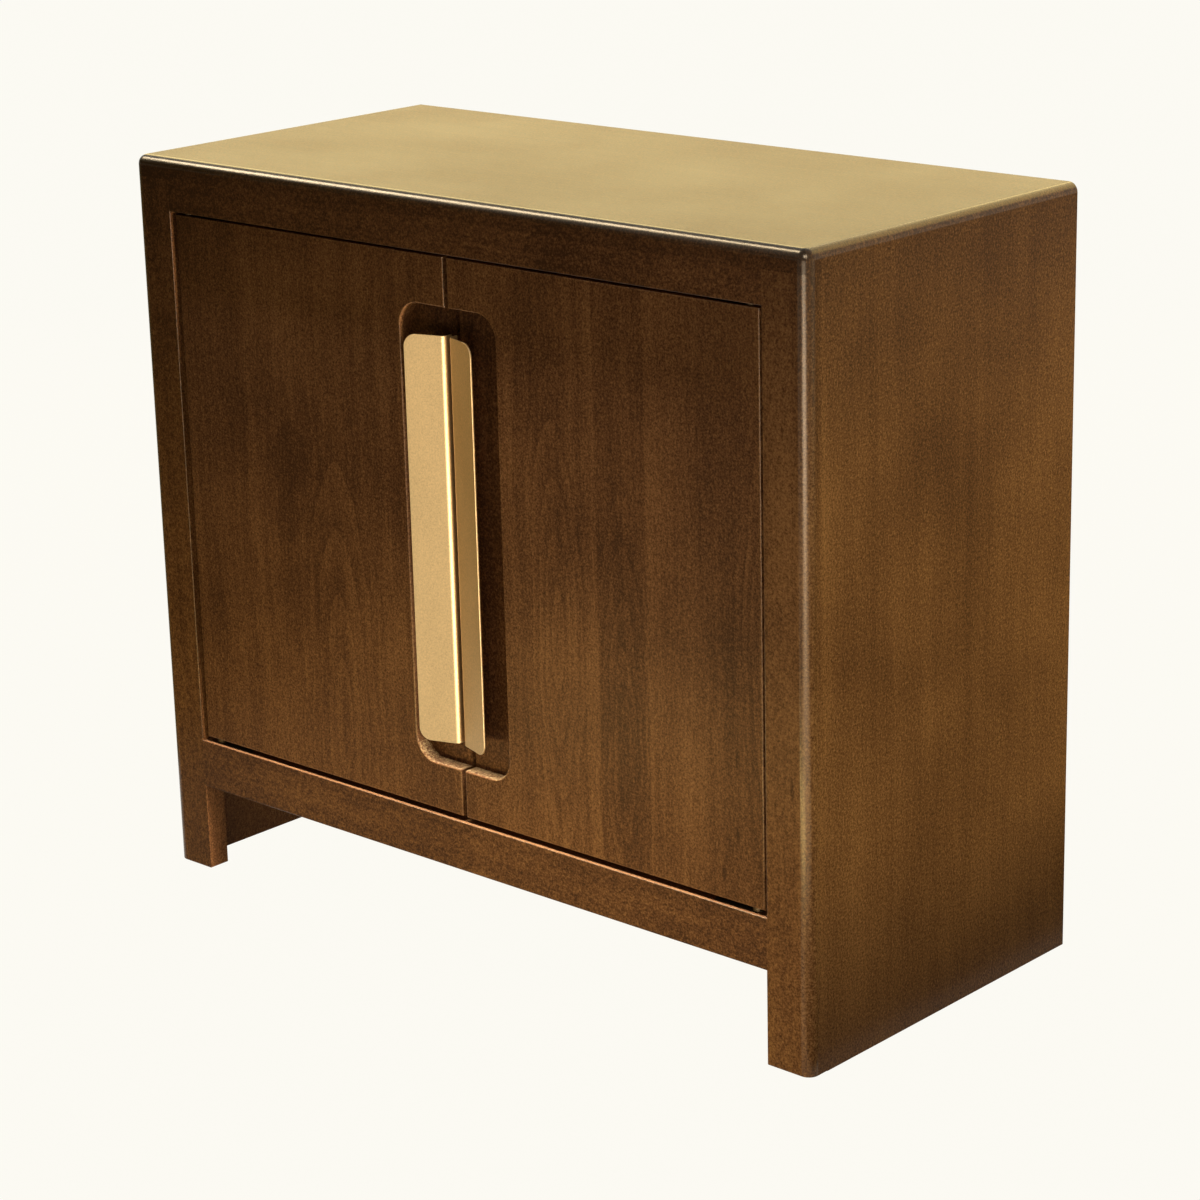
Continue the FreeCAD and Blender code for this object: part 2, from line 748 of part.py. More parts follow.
def pivot_washers(level, gap, z, pointing):
    """The pair of washers that fill the gap between the doors and one rail."""
    washer = turned(f"{level}_washer", [
        ("pin_diameter / 2 + pin_clearance", "0"),
        ("washer_diameter / 2", "0"),
        ("washer_diameter / 2", f"{gap} - washer_play"),
        ("pin_diameter / 2 + pin_clearance", f"{gap} - washer_play"),
    ])
    group(f"{level}_pivot_washers", washer, both_sides([("pivot_x", "pivot_y", z, pointing)]))


def build_hinges():
    running = "pin_diameter + 2 * pin_clearance"
    leaf("right_upper_frame_leaf", "opening_high", "pin_diameter", False)
    leaf("right_upper_door_leaf", "door_high - leaf_thickness", running, True)
    leaf("right_lower_door_leaf", "door_low", running, False)
    leaf("right_lower_frame_leaf", "opening_low - leaf_thickness", "pin_diameter", True)
    upper = pivot_pin("right_upper_pivot_pin", "top_reveal", "opening_high + leaf_thickness")
    upper.Placement.Rotation = FreeCAD.Rotation(FreeCAD.Vector(1, 0, 0), 180)
    lower = pivot_pin("right_lower_pivot_pin", "reveal", "opening_low - leaf_thickness")
    doc.recompute()
    for pin in (upper, lower):
        mirror(keep(pin))
    pivot_washers("upper", "top_reveal", "opening_high", DOWN)
    pivot_washers("lower", "reveal", "opening_low", UP)


def build_screws():
    """Sunk wood screws: their own Z axis points from the head to the tip."""
    screw = turned("wood_screw", [
        ("0", "0"),
        ("screw_head / 2", "0"),
        ("screw_diameter / 2", "(screw_head - screw_diameter) / 2"),
        ("screw_diameter / 2", "screw_length - screw_tip"),
        ("0", "screw_length"),
    ])
    columns = [f"pivot_x - ({step})" for step in LEAF_SCREWS]
    frame_spots = [(x, "pivot_y", z, way) for x in columns
                   for z, way in (("opening_high", UP), ("opening_low", DOWN))]
    group("frame_leaf_screws", screw, both_sides(frame_spots))
    door_spots = [(x, "pivot_y", z, way) for x in columns
                  for z, way in (("door_high", DOWN), ("door_low", UP))]
    mirror(group("right_door_leaf_screws", screw, door_spots))
    strike_spot = ("catch_offset", "door_back", "catch_height", TO_FRONT)
    mirror(group("right_strike_screw", screw, [strike_spot]))
    spots = [(x, "back_y", f"foot_height + {z}", TO_FRONT) for x, z in back_screw_spots()]
    group("back_panel_screws", screw, spots)
    bolt = turned("handle_screw", [
        ("0", "-handle_head_height"),
        ("handle_head_diameter / 2", "-handle_head_height"),
        ("handle_head_diameter / 2", "0"),
        ("handle_screw_diameter / 2", "0"),
        ("handle_screw_diameter / 2", "recess_floor + sheet_thickness"),
        ("0", "recess_floor + sheet_thickness"),
    ])
    spots = [(f"flange_x + {x}", "door_back", f"door_low + handle_low + {z}", TO_FRONT)
             for x, z in handle_screw_spots()]
    mirror(group("right_handle_screws", bolt, spots))


def build_catch():
    block = make_body("door_stop_block", "0", "door_back + stop_gap", "case_top - stop_height")
    sketch = make_sketch(block, "outline", "XY_Plane")
    rectangle(sketch, "-stop_width / 2", "0", "stop_width / 2", "stop_thickness")
    pad(block, sketch, "stop_height")
    soften(block, "arris", lambda at, along: same(at.z, 0))
    row = "catch_height - (case_top - stop_height)"
    drill(block, "XZ_Plane", "0", [("catch_offset", row), ("-catch_offset", row)],
          "magnet_diameter + 2 * magnet_play", "magnet_length")
    keep(block)
    magnet = turned("magnet", [
        ("0", "0"),
        ("magnet_diameter / 2", "0"),
        ("magnet_diameter / 2", "magnet_length"),
        ("0", "magnet_length"),
    ])
    spots = [(x, "door_back + stop_gap", "catch_height", TO_BACK) for x in ("catch_offset", "-catch_offset")]
    group("catch_magnets", magnet, spots)
    strike = make_body("right_strike_plate", "catch_offset", "door_back - strike_thickness", "catch_height")
    sketch = make_sketch(strike, "outline", "XZ_Plane")
    circles(sketch, [("0", "0")], "strike_diameter")
    pad(strike, sketch, "strike_thickness", True)
    countersink(strike, "XZ_Plane", "-strike_thickness", [("0", "0")], True)
    mirror(keep(strike))


def write_pieces():
    """Check every object of the document, then write one file for each piece."""
    doc.recompute()
    for thing in doc.Objects:
        if "Invalid" in thing.State or "Error" in thing.State:
            raise RuntimeError(f"{thing.Label} failed: {thing.State}")
    for piece in pieces:
        if piece.Shape.isNull() or not piece.Shape.isValid() or not piece.Shape.Solids:
            raise RuntimeError(f"{piece.Label} has no valid solid")
    os.makedirs("parts", exist_ok=True)
    for piece in pieces:
        piece.Shape.exportStep(f"parts/{piece.Label}.step")
        print(piece.Label, len(piece.Shape.Solids), "solid", round(piece.Shape.Volume / 1000, 2), "cm3")


build_top_panel()
build_stile()
build_side_panel()
build_rails()
build_floor_and_back()
build_shelf()
build_dowels()
build_door()
build_handle()
build_hinges()
build_catch()
build_screws()
write_pieces()
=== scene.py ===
"""Accent cabinet in dark stained wood, with two flush doors and bent brass pull plates."""

import json
import math

import bmesh
import bpy
from bpy.props import FloatProperty, FloatVectorProperty, PointerProperty
from mathutils import Matrix, Vector

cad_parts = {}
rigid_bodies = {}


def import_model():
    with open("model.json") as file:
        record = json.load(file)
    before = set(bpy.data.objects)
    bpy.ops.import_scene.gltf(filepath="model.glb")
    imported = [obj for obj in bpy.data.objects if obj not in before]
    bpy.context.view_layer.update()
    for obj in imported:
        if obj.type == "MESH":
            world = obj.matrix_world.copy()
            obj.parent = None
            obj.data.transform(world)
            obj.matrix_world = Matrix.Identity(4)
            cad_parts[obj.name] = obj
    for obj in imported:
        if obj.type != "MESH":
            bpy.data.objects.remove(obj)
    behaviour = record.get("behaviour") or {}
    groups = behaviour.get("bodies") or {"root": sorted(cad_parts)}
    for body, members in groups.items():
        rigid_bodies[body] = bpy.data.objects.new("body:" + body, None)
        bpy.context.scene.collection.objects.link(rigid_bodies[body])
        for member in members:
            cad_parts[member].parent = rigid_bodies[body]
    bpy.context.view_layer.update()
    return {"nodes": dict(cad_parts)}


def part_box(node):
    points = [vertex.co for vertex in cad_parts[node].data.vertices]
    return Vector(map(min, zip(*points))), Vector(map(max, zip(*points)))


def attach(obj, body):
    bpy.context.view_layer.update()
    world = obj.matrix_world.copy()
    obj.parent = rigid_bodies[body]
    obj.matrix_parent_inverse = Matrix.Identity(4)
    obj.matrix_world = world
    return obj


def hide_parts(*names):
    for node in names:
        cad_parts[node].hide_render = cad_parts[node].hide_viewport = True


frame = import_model()

bl_info = {
    "name": "Accent Cabinet",
    "version": (1, 0, 0),
    "blender": (4, 5, 0),
    "location": "View3D > Sidebar > Cabinet",
    "description": "Dresses the accent cabinet in stained wood and brass and sets up its studio",
    "category": "Object",
}

SIDES = {"right": 1, "left": -1}
HANDLE_LOW, HANDLE_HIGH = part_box("right_handle")
DOOR_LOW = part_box("right_door_panel")[0]

# Small lengths: the play in comparing coordinates, the easings and the seats of flush plates
TINY = 1e-5
BACK_EASE = 0.001
FOOT_EASE = 0.0008
SHEET_EASE = 0.0006
SEAT_PLAY = 0.0001
SEAT_OVERCUT = 0.002
FLUSH_LIMIT = 0.001

# Steps in which each kind of edge is rounded
CORNER_STEPS = 10
ARRIS_STEPS = 4
DOOR_ARRIS_STEPS = 8
EASE_STEPS = 2
RECESS_STEPS = 14
BEND_STEPS = 6
PLATE_CORNER_STEPS = 12
SHEET_EDGE_STEPS = 3
SEAT_STEPS = 32

# Angles between faces: above these an edge is shaded sharp or eased, and below the last one joined
SHARP_ANGLE = math.radians(18)
SHEET_EDGE_ANGLE = math.radians(60)
FLAT_ANGLE = 0.01

# How far a face points along an axis: square to it, about along it, or only leaning that way
SQUARE = 0.999
ROUND_START = 0.98
FACING = 0.9
LEANING = 0.3


def length(name, description, default):
    """A length that the user may change."""
    return FloatProperty(name=name, description=description, default=default, min=0.0,
                         unit="LENGTH", precision=4)


def colour(name, description, default):
    """A colour that the user may change."""
    return FloatVectorProperty(name=name, description=description, default=default,
                               min=0.0, max=1.0, subtype="COLOR")


def power(name, description, default):
    """The power of a light panel, which the user may change."""
    return FloatProperty(name=name, description=description, default=default, min=0.0,
                         unit="POWER")


class CabinetSizes(bpy.types.PropertyGroup):
    """Rounded edges, the handle recess and the bent plates."""

    edge_round: length("Top edge", "Rounding along the front and side edges of the top", 0.010)
    corner_round: length("Front corners", "Rounding of the upright front corners", 0.011)
    frame_arris: length("Frame arris", "Easing of the frame's edges around the door opening",
                        0.0010)
    door_arris: length("Door arris", "Easing of the doors' front edges", 0.0015)
    recess_half: length("Recess half width",
                        "How far the handle recess reaches into each door from the middle", 0.065)
    recess_height: length("Recess height", "Height of the handle recess", 0.476)
    recess_depth: length("Recess depth", "Depth of the handle recess below the door's face",
                         HANDLE_HIGH.y - DOOR_LOW.y)
    recess_corner: length("Recess corner", "Corner radius of the handle recess", 0.025)
    sheet: length("Plate thickness", "Thickness of the bent brass", 0.002)
    bend_round: length("Bend", "Outside radius of the plate's bends", 0.006)
    plate_corner: length("Plate corner", "Corner radius at the ends of the pull plate", 0.013)
    plate_foot: length("Plate foot", "Width of the foot that is screwed to the recess floor", 0.014)
    foot_trim: length("Foot trim", "How far the foot is cut back at both ends", 0.040)
    plate_lean: FloatProperty(name="Plate lean",
                              description="Lean of the pull plate away from the door's face",
                              default=math.radians(18.5), subtype="ANGLE")


class CabinetFinish(bpy.types.PropertyGroup):
    """Stain, lacquer and metal, and the pale colour painted as light on the recess foot."""

    stain_dark: colour("Dark stain", "Stain in the dark streaks and pores",
                       (0.042, 0.0172, 0.0082))
    stain_mid: colour("Middle stain", "Stain of most of the wood", (0.122, 0.0520, 0.0222))
    stain_light: colour("Light stain", "Stain in the pale streaks", (0.27, 0.131, 0.055))
    # Pale colour painted as light on the upward faces at the foot of the handle recess
    recess_light_paint: colour("Recess light paint", "Pale colour painted as light on the foot of the recess",
                      (0.46, 0.315, 0.145))
    brass: colour("Brass", "Satin brass of the pull plates", (0.64, 0.425, 0.190))
    lacquer: FloatProperty(name="Lacquer roughness", description="Roughness of the lacquered wood",
                           default=0.36, min=0.0, max=1.0, subtype="FACTOR")


class CabinetStudio(bpy.types.PropertyGroup):
    """Camera, light and paper."""

    camera_place: FloatVectorProperty(name="Camera place", description="Where the camera stands",
                                      default=(2.20038, -2.38170, 1.33990), subtype="XYZ",
                                      unit="LENGTH")
    lens: FloatProperty(name="Lens", description="Focal length of the camera", default=97.818,
                        unit="CAMERA")
    paper: colour("Paper", "Pale floor and background", (1.0, 0.983, 0.921))
    back_light: power("Back light", "Power of the panel behind the cabinet", 41.0)
    side_light: power("Side light", "Power of the panel on the right", 23.5)
    low_light: power("Low light", "Power of the low panel at the front right", 3.7)
    strip_light: power("Strip light", "Power of the strip along the floor in front", 3.25)
    overhead_light: power("Overhead light", "Power of the strip above the front", 230.0)
    grazing_light: power("Grazing light", "Power of the strip along the front", 125.0)
    edge_light: power("Edge light", "Power of the panels that line the edges", 100.0)


def wire(tree, kind, inputs, **settings):
    """Adds one node, sets its fields and fills or links its sockets."""
    made = tree.nodes.new(kind)
    for field, setting in settings.items():
        setattr(made, field, setting)
    for socket, source in inputs.items():
        if isinstance(source, bpy.types.NodeSocket):
            tree.links.new(source, made.inputs[socket])
        else:
            made.inputs[socket].default_value = source
    return made


def math_of(tree, operation, *values):
    """The result of a sum on numbers or patterns."""
    return wire(tree, "ShaderNodeMath", dict(enumerate(values)), operation=operation).outputs[0]


def add_scaled(tree, pattern, amount, base):
    """base + pattern x amount."""
    return math_of(tree, "MULTIPLY_ADD", pattern, amount, base)


def blend(tree, middle, *parts):
    """Patterns added up by their weights, so that the sum lies around a middle."""
    total = middle - sum(weight for _, weight in parts) / 2
    for pattern, weight in parts:
        total = add_scaled(tree, pattern, weight, total)
    return total


def vector_of(tree, operation, *values):
    """The result of a sum on vectors."""
    made = wire(tree, "ShaderNodeVectorMath", dict(enumerate(values)), operation=operation)
    return made.outputs[0]


def noise(tree, place, scale, detail, roughness):
    """Cloudy pattern, squeezed by the scale along each axis."""
    mapped = wire(tree, "ShaderNodeMapping", {"Vector": place, "Scale": scale})
    made = wire(tree, "ShaderNodeTexNoise", {
        "Vector": mapped.outputs[0],
        "Scale": 1.0,
        "Detail": detail,
        "Roughness": roughness,
    })
    return made.outputs[0]


def ramp(tree, fraction, stops):
    """Colour ramp through (position, colour) stops."""
    made = wire(tree, "ShaderNodeValToRGB", {0: fraction})
    elements = made.color_ramp.elements
    while len(elements) < len(stops):
        elements.new(0.5)
    for element, (position, shade) in zip(elements, stops):
        element.position = position
        element.color = (*shade, 1.0)
    return made.outputs[0]


def new_material(name):
    """An empty procedural material: its nodes, its shader and its object coordinates."""
    material = bpy.data.materials.new(name)
    material.use_nodes = True
    tree = material.node_tree
    place = wire(tree, "ShaderNodeTexCoord", {}).outputs["Object"]
    return material, tree, tree.nodes["Principled BSDF"], place


def along(axis, across, lengthwise):
    """Scale for a pattern that is drawn out along one axis."""
    return tuple(lengthwise if index == axis else across for index in range(3))


# Middle and reach of each dark knot or bark streak on the front
KNOTS = (
    ((0.3435, -0.1978, 0.1809), (0.0035, 0.02, 0.012)),
    ((0.3612, -0.1978, 0.2994), (0.0025, 0.02, 0.014)),
    ((0.3614, -0.1978, 0.2247), (0.0025, 0.02, 0.010)),
    ((0.4296, -0.2012, 0.2857), (0.003, 0.02, 0.016)),
    ((0.4209, -0.2012, 0.6208), (0.003, 0.02, 0.008)),
    ((0.1309, -0.2012, 0.7421), (0.010, 0.02, 0.003)),
)

# Middle and reach of the paler and darker patches in the tone, partly uneven stain and partly
# painted light and shade where the front and side are lit unevenly, and how far they change its
# tone
STAIN_AND_PAINTED_LIGHT_PATCHES = (
    ((0.425, -0.20, 0.47), (0.05, 0.06, 0.38), 0.30),
    ((-0.43, -0.20, 0.74), (0.05, 0.06, 0.22), -0.32),
    # Dark band on the side beside the corner's highlight: painted shade
    ((0.45, -0.188, 0.62), (0.02, 0.009, 0.42), -0.32),
    ((0.45, 0.00, 0.78), (0.05, 0.40, 0.30), -0.16),
    ((-0.22, -0.20, 0.48), (0.22, 0.06, 0.20), -0.20),
    ((0.14, -0.20, 0.68), (0.10, 0.06, 0.16), -0.20),
    ((0.25, -0.20, 0.20), (0.06, 0.06, 0.09), -0.20),
    ((0.15, -0.20, 0.51), (0.09, 0.06, 0.16), -0.22),
    ((0.34, -0.20, 0.50), (0.07, 0.06, 0.18), -0.18),
    ((0.45, 0.02, 0.52), (0.05, 0.12, 0.20), -0.20),
    ((0.45, -0.13, 0.22), (0.05, 0.10, 0.16), 0.16),
)

# Middle and reach of each loop of grain and of the dark hearts in the doors
LOOPS = (
    ((0.136, -0.19, 0.37), (0.052, 0.4, 0.33)),
    ((0.222, -0.19, 0.28), (0.044, 0.4, 0.30)),
    ((0.412, -0.19, 0.40), (0.060, 0.4, 0.36)),
    ((-0.170, -0.19, 0.22), (0.075, 0.4, 0.42)),
)
HEARTS = (
    ((-0.238, -0.19, 0.492), (0.036, 0.4, 0.056)),
    ((-0.243, -0.19, 0.430), (0.026, 0.4, 0.040)),
)

# Half of the cabinet's width, and the left edge of each door stave with how light its wood is
HALF_WIDTH = 0.45
STAVES = (
    (-0.450, 0.44),
    (-0.305, 0.50),
    (-0.205, 0.56),
    (-0.095, 0.46),
    (0.000, 0.50),
    (0.098, 0.56),
    (0.172, 0.72),
    (0.188, 0.42),
    (0.252, 0.58),
    (0.318, 0.47),
)

# How the parts of the figure change the wood's tone, where they fade, and how far lines waver
MIDDLE_TONE = 0.40
STAVE_CONTRAST = 0.62
LOOP_CONTRAST = 0.20
LOOP_FADE = 0.35
HEART_CHANGE = -0.12
HEART_RIM = (0.22, 0.36)
KNOT_CHANGE = -0.5
GRAIN_WAVER = 0.016
LOOP_WAVER = 0.020

# Tone at which the wood has its middle stain
MIDDLE_STAIN_AT = 0.42

# Sheen of the lacquer, and of the edges where it is rubbed
LACQUER_GLOSS = 0.06
LACQUER_TINT = (1.0, 0.62, 0.28, 1.0)
RUBBED_ROUGHNESS = 0.24
RUBBED_TINT = (1.0, 0.82, 0.58, 1.0)

# Each wooden finish: the axis of its grain, and where it departs from plain stained wood, in some
# finishes with painted light and in others with painted shade in its tone
WOODS = {
    "upright_stain": {"axis": 2, "streaks": 0.6},
    "upright_edge": {"axis": 2, "rubbed": 0.30},
    "level_stain": {"axis": 0},
    "stile_stain": {"axis": 2, "lift": 0.05},
    # Rails and the top's front face: darker tone, partly the rails' stain and partly painted shade
    "rail_stain_and_painted_shade": {"axis": 0, "lift": -0.11},
    # Front roundings of the top and arrises of the rails: tone darkened as painted shade next to
    # the lamp's sheen line
    "level_edge_painted_shade": {"axis": 0, "lift": -0.22, "rubbed": 0.20},
    "door_stain": {"axis": 2, "door": True, "streaks": 1.2},
    # Doors' arrises and side faces: tone lifted as painted light where the arrises and the gaps
    # catch light
    "door_edge_painted_light": {"axis": 2, "door": True, "lift": 0.20, "rubbed": 0.18},
    # Floor of the handle recess: tone darkened as painted shade in the recess
    "recess_floor_painted_shade": {"axis": 2, "door": True, "lift": -0.20},
    # Top face of the bottom rail: tone lifted as painted light where light falls on it from above
    "ledge_painted_light": {"axis": 0, "lift": 0.25},
    # Foot of the handle recess: pale colour and lifted tone, painted light where the overhead light
    # falls
    "recess_foot_painted_light": {"axis": 0, "lift": 0.24, "painted_foot_light": True},
    "inside_stain": {"axis": 0, "lift": 0.14},
    "back_stain": {"axis": 2, "lift": 0.12},
    "dowel_beech": {"axis": 2, "lift": 0.55},
}

# Each metal finish, in the brass of the pull plates where it has no shade of its own, and how far
# its speckle goes below and above that shade
SPECKLE_DARK = 0.72
SPECKLE_LIGHT = 1.22
METALS = {
    "pull_brass": {"roughness": 0.44, "speckle": 0.90},
    # Hinge leaves, pins, washers and their screws: near black, as painted shade in the gaps where
    # they sit
    "leaf_brass_painted_shade": {"roughness": 0.50, "speckle": 0.25, "shade": (0.035, 0.022, 0.011)},
    "bright_steel": {"roughness": 0.30, "speckle": 0.20, "shade": (0.56, 0.56, 0.55)},
}


def around(tree, place, centre, reach):
    """The place measured from a centre, as shares of a reach."""
    scale = tuple(1 / size for size in reach)
    shift = tuple(-middle / size for middle, size in zip(centre, reach))
    mapped = wire(tree, "ShaderNodeMapping", {"Vector": place, "Location": shift, "Scale": scale})
    return mapped.outputs[0]


def nearness(tree, spot):
    """1 at the centre of a spot, falling to 0 at its reach."""
    made = wire(tree, "ShaderNodeTexGradient", {"Vector": spot}, gradient_type="SPHERICAL")
    return made.outputs[1]


def nearest(tree, place, spots):
    """The highest nearness to any of several spots at each place."""
    patterns = [nearness(tree, around(tree, place, *spot)) for spot in spots]
    best = patterns[0]
    for pattern in patterns[1:]:
        best = math_of(tree, "MAXIMUM", best, pattern)
    return best


def waver(tree, place, axis, reach):
    """The place, pushed to and fro across the grain so that lines run unevenly."""
    drift = wire(tree, "ShaderNodeTexNoise", {"Vector": place, "Scale": 9.0, "Detail": 3.0})
    push = vector_of(tree, "SUBTRACT", drift.outputs[1], (0.5, 0.5, 0.5))
    sway = vector_of(tree, "MULTIPLY", push, along(axis, reach, 0.0))
    return vector_of(tree, "ADD", place, sway)


def door_figure(tree, place, tone):
    """Adds the doors' staves, loops of grain and dark hearts to a tone."""
    across = wire(tree, "ShaderNodeSeparateXYZ", {0: place}).outputs[0]
    row = wire(tree, "ShaderNodeMapRange", {0: across, 1: -HALF_WIDTH, 2: HALF_WIDTH})
    staves = ramp(tree, row.outputs[0], [
        ((edge + HALF_WIDTH) / (2 * HALF_WIDTH), (shade, shade, shade)) for edge, shade in STAVES
    ])
    staves.node.color_ramp.interpolation = "CONSTANT"
    tone = add_scaled(tree, tone, 1.0, -STAVE_CONTRAST / 2)
    tone = add_scaled(tree, staves, STAVE_CONTRAST, tone)
    winding = waver(tree, place, 2, LOOP_WAVER)
    for centre, reach in LOOPS:
        spot = around(tree, winding, centre, reach)
        rings = wire(tree, "ShaderNodeTexWave",
                     {"Vector": spot, "Scale": 1.9, "Distortion": 1.2, "Detail": 2.0},
                     wave_type="RINGS", rings_direction="SPHERICAL", wave_profile="SAW")
        swing = math_of(tree, "SUBTRACT", rings.outputs[1], 0.5)
        fade = wire(tree, "ShaderNodeMapRange", {0: nearness(tree, spot), 2: LOOP_FADE})
        loop = math_of(tree, "MULTIPLY", swing, fade.outputs[0])
        tone = add_scaled(tree, loop, LOOP_CONTRAST, tone)
    hearts = nearest(tree, winding, HEARTS)
    heart = wire(tree, "ShaderNodeMapRange", {0: hearts, 1: HEART_RIM[0], 2: HEART_RIM[1]})
    return add_scaled(tree, heart.outputs[0], HEART_CHANGE, tone)


def stained_wood(name, finish, axis, door=False, lift=0.0, rubbed=0.0, painted_foot_light=False, streaks=1.0):
    """Stained and lacquered hardwood with its grain along one axis."""
    material, tree, shader, place = new_material(name)
    winding = waver(tree, place, axis, GRAIN_WAVER)
    cloud = noise(tree, place, (6.0, 6.0, 6.0), detail=3.0, roughness=0.55)
    streak = noise(tree, winding, along(axis, 60.0, 1.8), detail=5.0, roughness=0.62)
    fine = noise(tree, winding, along(axis, 300.0, 9.0), detail=3.0, roughness=0.6)
    fleck = noise(tree, place, along(axis, 380.0, 230.0), detail=3.0, roughness=0.75)
    grit = noise(tree, place, (520.0, 520.0, 520.0), detail=2.0, roughness=0.6)
    tone = blend(tree, MIDDLE_TONE + lift, (cloud, 0.60), (streak, 0.50 * streaks),
                 (fine, 0.36 * streaks), (fleck, 1.25), (grit, 1.60))
    if door:
        tone = door_figure(tree, place, tone)
    # Paler and darker patches, partly painted light and shade
    for centre, reach, change in STAIN_AND_PAINTED_LIGHT_PATCHES:
        patch = nearness(tree, around(tree, place, centre, reach))
        tone = add_scaled(tree, patch, change, tone)
    tone = add_scaled(tree, nearest(tree, place, KNOTS), KNOT_CHANGE, tone)
    # On the recess foot the pale end of the ramp is painted light
    shade = ramp(tree, tone, [
        (0.0, finish.stain_dark),
        (MIDDLE_STAIN_AT, finish.stain_mid),
        (1.0, finish.recess_light_paint if painted_foot_light else finish.stain_light),
    ])
    tree.links.new(shade, shader.inputs["Base Color"])
    roughness = RUBBED_ROUGHNESS if rubbed else finish.lacquer
    sheen = blend(tree, roughness, (fleck, 0.16), (cloud, 0.10))
    tree.links.new(sheen, shader.inputs["Roughness"])
    relief = add_scaled(tree, fleck, 0.7, add_scaled(tree, fine, 0.3, 0.0))
    bump = wire(tree, "ShaderNodeBump", {"Height": relief, "Strength": 0.16, "Distance": 0.0006})
    tree.links.new(bump.outputs[0], shader.inputs["Normal"])
    shader.inputs["IOR"].default_value = 1.5
    shader.inputs["Specular IOR Level"].default_value = rubbed or LACQUER_GLOSS
    shader.inputs["Specular Tint"].default_value = RUBBED_TINT if rubbed else LACQUER_TINT
    return material


def metal(name, finish, roughness, speckle, shade=None):
    """Metal with a fine speckle in its colour and sheen."""
    material, tree, shader, place = new_material(name)
    grain = noise(tree, place, (620.0, 620.0, 560.0), detail=2.0, roughness=0.6)
    cloud = noise(tree, place, (24.0, 24.0, 9.0), detail=3.0, roughness=0.5)
    tone = blend(tree, 0.5, (cloud, 0.25), (grain, speckle))
    dark = tuple(SPECKLE_DARK * part for part in shade or finish.brass)
    light = tuple(min(1.0, SPECKLE_LIGHT * part) for part in shade or finish.brass)
    tree.links.new(ramp(tree, tone, [(0.15, dark), (0.85, light)]), shader.inputs["Base Color"])
    sheen = blend(tree, roughness, (cloud, 0.08), (grain, 0.12))
    tree.links.new(sheen, shader.inputs["Roughness"])
    bump = wire(tree, "ShaderNodeBump", {"Height": grain, "Strength": 0.10, "Distance": 0.0002})
    tree.links.new(bump.outputs[0], shader.inputs["Normal"])
    shader.inputs["Metallic"].default_value = 1.0
    return material


def finish_of(name):
    """The named finish, made once."""
    ready = bpy.data.materials.get(name)
    if ready:
        return ready
    finish = bpy.context.scene.cabinet_finish
    if name in METALS:
        return metal(name, finish, **METALS[name])
    return stained_wood(name, finish, **WOODS[name])


def box_form(low, high):
    """A box between two corners."""
    form = bmesh.new()
    bmesh.ops.create_cube(form, size=1)
    bmesh.ops.scale(form, vec=high - low, verts=form.verts)
    bmesh.ops.translate(form, vec=(low + high) / 2, verts=form.verts)
    return form


def points_in(parts):
    """The points among the parts that an operation gives back."""
    return [part for part in parts if isinstance(part, bmesh.types.BMVert)]


def edges_at(form, **limits):
    """Edges with both ends at the given coordinates, each a value or a (low, high) span."""
    def inside(point):
        for axis, limit in limits.items():
            low, high = limit if isinstance(limit, tuple) else (limit, limit)
            if not low - TINY <= getattr(point, axis) <= high + TINY:
                return False
        return True
    return [edge for edge in form.edges if all(inside(end.co) for end in edge.verts)]


def round_over(form, edges, radius, segments):
    """Rounds edges to a radius."""
    bmesh.ops.bevel(form, geom=edges, offset=radius, offset_type="OFFSET", affect="EDGES",
                    segments=segments, profile=0.5, material=-1, clamp_overlap=True)


def slice_at(form, axis, value):
    """Cuts all faces along a plane across one axis."""
    normal = Vector(along(axis, 0.0, 1.0))
    bmesh.ops.bisect_plane(form, geom=form.verts[:] + form.edges[:] + form.faces[:],
                           dist=TINY / 10, plane_co=normal * value, plane_no=normal)


def is_slanted(face):
    """Whether a face stands at a slant, as on a rounded edge."""
    return max(abs(part) for part in face.normal) < SQUARE


def paint(face, finishes, name):
    """Gives a face one of its piece's finishes."""
    face.material_index = finishes.index(name)


def rub_edges(form, finishes, name):
    """Gives the rounded edges the named finish of rubbed lacquer, whose tone holds painted shade on
    the rails and painted light on the doors.
    """
    for face in form.faces:
        if is_slanted(face):
            paint(face, finishes, name)


def new_object(name, form, finishes=()):
    """An object at the origin with the form as its mesh, in the finishes that its faces number."""
    mesh = bpy.data.meshes.new(name)
    form.to_mesh(mesh)
    form.free()
    for finish in finishes:
        mesh.materials.append(finish_of(finish))
    made = bpy.data.objects.new(name, mesh)
    bpy.context.scene.collection.objects.link(made)
    return made


